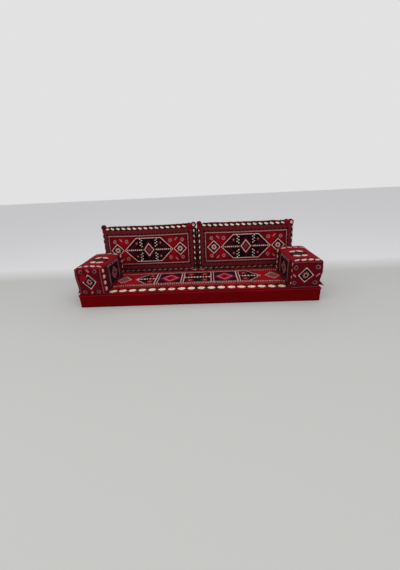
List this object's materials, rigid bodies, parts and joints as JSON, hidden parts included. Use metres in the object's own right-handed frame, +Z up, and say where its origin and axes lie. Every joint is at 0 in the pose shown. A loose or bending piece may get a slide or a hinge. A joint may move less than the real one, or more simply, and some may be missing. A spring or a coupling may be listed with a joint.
{
  "type": "majlis floor sofa",
  "caption": "Low floor sofa of loose covered cushions: a long flat seat, two block arms and two back cushions with tied corners, in red kilim cloth.",
  "frame": {"origin": "centre of the seat cushion's underside, on the floor", "axes": "+X along the seat, the front faces -Y, +Z up"},
  "size_m": [1.9125, 0.6588, 0.5478],
  "materials": {
    "kilim": "matte",
    "plain_velvet": "matte",
    "tie_velvet": "matte",
    "filling": "matte",
    "zip_tape": "matte",
    "zip_coil": "satin",
    "zip_metal": "satin"
  },
  "bodies": {
    "seat": {"seat_foam": "filling", "seat_top_panel": "kilim", "seat_border": "plain_velvet", "seat_base_panel": "plain_velvet", "seat_piping": "plain_velvet", "seat_zip_tape": "zip_tape", "seat_zip_chain": "zip_coil"},
    "seat_slider": {"seat_zip_slider": "zip_metal"},
    "seat_pull": {"seat_zip_pull": "zip_metal"},
    "left_arm": {"left_arm_foam": "filling", "left_arm_wrap": "kilim", "left_arm_front_panel": "kilim", "left_arm_rear_panel": "plain_velvet", "left_arm_base_panel": "plain_velvet", "left_arm_zip_flap": "plain_velvet", "left_arm_zip_tape": "zip_tape", "left_arm_zip_chain": "zip_coil"},
    "left_arm_slider": {"left_arm_zip_slider": "zip_metal"},
    "left_arm_pull": {"left_arm_zip_pull": "zip_metal"},
    "right_arm": {"right_arm_foam": "filling", "right_arm_wrap": "kilim", "right_arm_front_panel": "kilim", "right_arm_rear_panel": "plain_velvet", "right_arm_base_panel": "plain_velvet", "right_arm_zip_flap": "plain_velvet", "right_arm_zip_tape": "zip_tape", "right_arm_zip_chain": "zip_coil"},
    "right_arm_slider": {"right_arm_zip_slider": "zip_metal"},
    "right_arm_pull": {"right_arm_zip_pull": "zip_metal"},
    "left_back": {"left_back_fill": "filling", "left_back_front_panel": "kilim", "left_back_rear_panel": "plain_velvet", "left_back_corner_ears": "kilim", "left_back_corner_ties": "tie_velvet", "left_back_zip_tape": "zip_tape", "left_back_zip_chain": "zip_coil"},
    "left_back_slider": {"left_back_zip_slider": "zip_metal"},
    "left_back_pull": {"left_back_zip_pull": "zip_metal"},
    "right_back": {"right_back_fill": "filling", "right_back_front_panel": "kilim", "right_back_rear_panel": "plain_velvet", "right_back_corner_ears": "kilim", "right_back_corner_ties": "tie_velvet", "right_back_zip_tape": "zip_tape", "right_back_zip_chain": "zip_coil"},
    "right_back_slider": {"right_back_zip_slider": "zip_metal"},
    "right_back_pull": {"right_back_zip_pull": "zip_metal"}
  },
  "joints": [
    {"name": "seat_zip_slide", "type": "slide", "parent": "seat", "child": "seat_slider", "axis": [1, 0, 0], "range_m": [0, 1.476]},
    {"name": "seat_pull_swing", "type": "hinge", "parent": "seat_slider", "child": "seat_pull", "pos_m": [-0.738, 0.3291, 0.052], "axis": [1, 0, 0], "range_deg": [-8, 175]},
    {"name": "left_arm_lift", "type": "slide", "parent": "seat", "child": "left_arm", "axis": [0, 0, 1], "range_m": [0, 0.46]},
    {"name": "left_arm_zip_slide", "type": "slide", "parent": "left_arm", "child": "left_arm_slider", "axis": [0, 1, 0], "range_m": [0, 0.356]},
    {"name": "left_arm_pull_swing", "type": "hinge", "parent": "left_arm_slider", "child": "left_arm_pull", "pos_m": [-0.9441, -0.26, 0.1293], "axis": [0, 1, 0], "range_deg": [-8, 32]},
    {"name": "right_arm_lift", "type": "slide", "parent": "seat", "child": "right_arm", "axis": [0, 0, 1], "range_m": [0, 0.46]},
    {"name": "right_arm_zip_slide", "type": "slide", "parent": "right_arm", "child": "right_arm_slider", "axis": [0, -1, 0], "range_m": [0, 0.356]},
    {"name": "right_arm_pull_swing", "type": "hinge", "parent": "right_arm_slider", "child": "right_arm_pull", "pos_m": [0.9341, 0.087, 0.1293], "axis": [0, -1, 0], "range_deg": [-8, 32]},
    {"name": "left_back_lift", "type": "slide", "parent": "seat", "child": "left_back", "axis": [0, 0, 1], "range_m": [0, 0.26]},
    {"name": "left_back_zip_slide", "type": "slide", "parent": "left_back", "child": "left_back_slider", "axis": [1, 0, 0], "range_m": [0, 0.416]},
    {"name": "left_back_pull_swing", "type": "hinge", "parent": "left_back_slider", "child": "left_back_pull", "pos_m": [-0.669, 0.3291, 0.2558], "axis": [1, 0, 0], "range_deg": [-8, 175]},
    {"name": "right_back_lift", "type": "slide", "parent": "seat", "child": "right_back", "axis": [0, 0, 1], "range_m": [0, 0.26]},
    {"name": "right_back_zip_slide", "type": "slide", "parent": "right_back", "child": "right_back_slider", "axis": [1, 0, 0], "range_m": [0, 0.416]},
    {"name": "right_back_pull_swing", "type": "hinge", "parent": "right_back_slider", "child": "right_back_pull", "pos_m": [0.228, 0.3291, 0.2558], "axis": [1, 0, 0], "range_deg": [-8, 175]}
  ]
}
